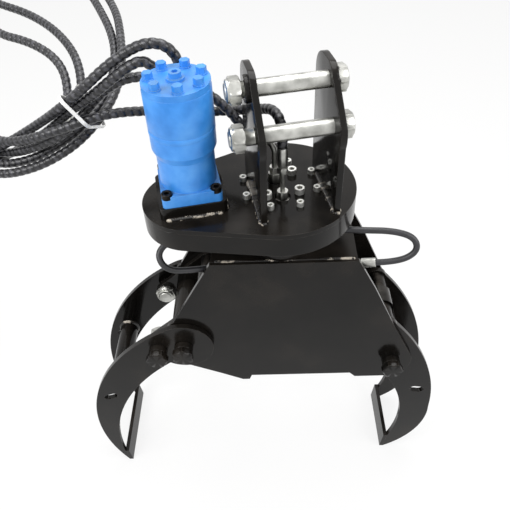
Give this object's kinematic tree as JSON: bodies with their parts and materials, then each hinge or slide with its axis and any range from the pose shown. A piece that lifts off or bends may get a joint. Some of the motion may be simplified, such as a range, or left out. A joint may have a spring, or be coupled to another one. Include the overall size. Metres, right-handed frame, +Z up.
{
  "type": "log grapple",
  "caption": "Rotating hydraulic log grapple: bolted hanger ears and blue slewing motor on a turntable, two-plate frame, curved tines closed by one cylinder, black hoses.",
  "frame": {"origin": "on the floor under the resting tine tips, at the middle of the length over the tines, in the middle plane", "axes": "+Z up along the slew axis, +X along the jaws towards the jaw with the inner tines, +Y to the back"},
  "size_m": [1.307, 0.8209, 0.9504],
  "materials": {
    "black_paint": "satin black enamel",
    "blue_paint": "satin blue enamel",
    "chrome_rod": "polished",
    "machined_steel": "machined",
    "side_hose_rubber": "smooth black rubber",
    "spiral_guard": "black spiral guard over rubber hose",
    "tie_plastic": "white nylon",
    "zinc_steel": "zinc plated"
  },
  "bodies": {
    "rotator_head": {"cable_tie": "tie_plastic", "front_port_fitting": "zinc_steel", "gearbox_bottom_cover": "black_paint", "hanger_ear_left": "black_paint", "hanger_ear_right": "black_paint", "hanger_nut_lower": "zinc_steel", "hanger_nut_upper": "zinc_steel", "hanger_pin_lower": "zinc_steel", "hanger_pin_upper": "zinc_steel", "hose_coupler": "zinc_steel", "hose_end_fitting_3": "zinc_steel", "hose_end_fitting_4": "zinc_steel", "housing_skirt": "black_paint", "housing_top_plate": "black_paint", "long_hose_1": "spiral_guard", "long_hose_2": "spiral_guard", "long_hose_3": "spiral_guard", "long_hose_4": "spiral_guard", "motor_end_cover": "blue_paint", "motor_flange_housing": "blue_paint", "motor_gerotor_ring": "blue_paint", "motor_mount_block": "black_paint", "motor_port_elbow_left": "zinc_steel", "motor_port_elbow_right": "zinc_steel", "motor_spacer_plate": "blue_paint", "rear_port_fitting": "zinc_steel", "rotary_union_stator": "machined_steel", "slew_inner_race": "machined_steel"},
    "left_jaw": {"crank_bolt_front": "black_paint", "crank_bolt_rear": "black_paint", "left_crank_front": "black_paint", "left_crank_rear": "black_paint", "left_cylinder_pin": "zinc_steel", "left_hub_tube": "black_paint", "left_tine_front": "black_paint", "left_tine_rear": "black_paint", "left_tip_blade": "black_paint"},
    "cylinder_barrel_body": {"cylinder_barrel": "black_paint", "cylinder_gland": "black_paint"},
    "cylinder_rod_body": {"cylinder_rod": "chrome_rod"},
    "pinion": {"drive_pinion": "machined_steel"},
    "grapple_frame": {"frame_plate_front": "black_paint", "frame_plate_rear": "black_paint", "frame_top_plate": "black_paint", "pivot_bolt_left": "black_paint", "pivot_bolt_right": "black_paint", "pivot_nut_left": "black_paint", "pivot_nut_right": "black_paint", "rotary_union_rotor": "machined_steel", "side_hose_fitting_left": "zinc_steel", "side_hose_fitting_right": "zinc_steel", "side_hose_left": "side_hose_rubber", "side_hose_right": "side_hose_rubber", "slew_ring_gear": "machined_steel", "turntable_drum": "black_paint"},
    "right_jaw": {"right_cylinder_pin": "zinc_steel", "right_hub_tube": "black_paint", "right_tine_front": "black_paint", "right_tine_rear": "black_paint", "right_tip_blade": "black_paint"}
  },
  "joints": [
    {"name": "slew", "type": "hinge", "parent": "rotator_head", "child": "grapple_frame", "pos_m": [0.0405, 0, 0.65], "axis": [0, 0, 1], "continuous": true},
    {"name": "pinion_spin", "type": "hinge", "parent": "rotator_head", "child": "pinion", "pos_m": [-0.1009, -0.02723, 0.698], "axis": [0, 0, 1], "continuous": true},
    {"name": "left_jaw_pivot", "type": "hinge", "parent": "grapple_frame", "child": "left_jaw", "pos_m": [-0.1435, 0, 0.417], "axis": [0, -1, 0], "range_deg": [-8, 42]},
    {"name": "right_jaw_pivot", "type": "hinge", "parent": "grapple_frame", "child": "right_jaw", "pos_m": [0.2515, 0, 0.344], "axis": [0, -1, 0], "range_deg": [-42, 8]},
    {"name": "barrel_pivot", "type": "hinge", "parent": "left_jaw", "child": "cylinder_barrel_body", "pos_m": [-0.09518, 0, 0.49293], "axis": [0, -1, 0], "range_deg": [-42, 8]},
    {"name": "rod_slide", "type": "slide", "parent": "cylinder_barrel_body", "child": "cylinder_rod_body", "axis": [0.9833, 0, -0.1817], "range_m": [-0.0245, 0.128]}
  ],
  "couplings": [
    {"joint": "pinion_spin", "follows": "slew", "ratio": -3},
    {"joint": "right_jaw_pivot", "follows": "left_jaw_pivot", "ratio": -1},
    {"joint": "barrel_pivot", "follows": "left_jaw_pivot", "ratio": -1},
    {"joint": "rod_slide", "follows": "left_jaw_pivot", "m_per_rad": 0.1742}
  ]
}
